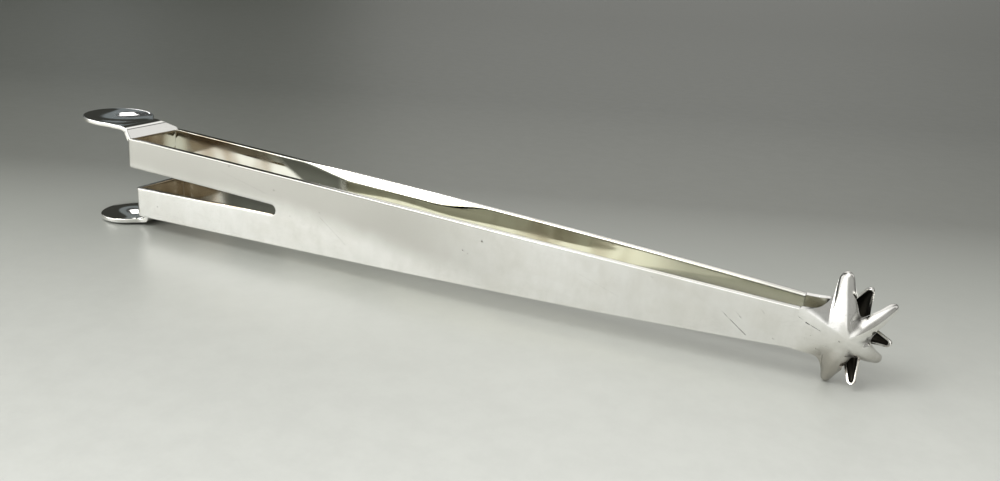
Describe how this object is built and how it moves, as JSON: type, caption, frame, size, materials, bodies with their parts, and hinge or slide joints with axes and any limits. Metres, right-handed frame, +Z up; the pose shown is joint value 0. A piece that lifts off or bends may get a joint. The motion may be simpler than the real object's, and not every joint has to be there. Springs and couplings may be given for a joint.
{
  "type": "bar tongs",
  "caption": "Sprung bar tongs: a slit U-shaped silver strip with two folded-out dished ears at the bow and interleaving hollow star claws at the tips.",
  "frame": {"origin": "bottom centre of the whole part's box", "axes": "+X from the bow's ears to the claws, +Y from the near arm to the far arm, +Z up through the slit's middle from the lower ear to the upper ear"},
  "size_m": [0.2112, 0.018, 0.0286],
  "materials": {
    "silver": "polished, lightly tarnished"
  },
  "bodies": {
    "bow": {"upper_bow_band": "silver", "lower_bow_band": "silver", "upper_ear": "silver", "lower_ear": "silver"},
    "near_side": {"near_arm": "silver", "near_claw": "silver"},
    "far_side": {"far_arm": "silver", "far_claw": "silver"}
  },
  "joints": [
    {"name": "near_arm_flex", "type": "hinge", "parent": "bow", "child": "near_side", "pos_m": [-0.07805, -0.0078, 0.01463], "axis": [0, 0, -1], "range_deg": [0, 6], "stiffness_Nm_per_rad": 4},
    {"name": "far_arm_flex", "type": "hinge", "parent": "bow", "child": "far_side", "pos_m": [-0.07805, 0.0078, 0.01463], "axis": [0, 0, 1], "range_deg": [0, 6], "stiffness_Nm_per_rad": 4}
  ]
}
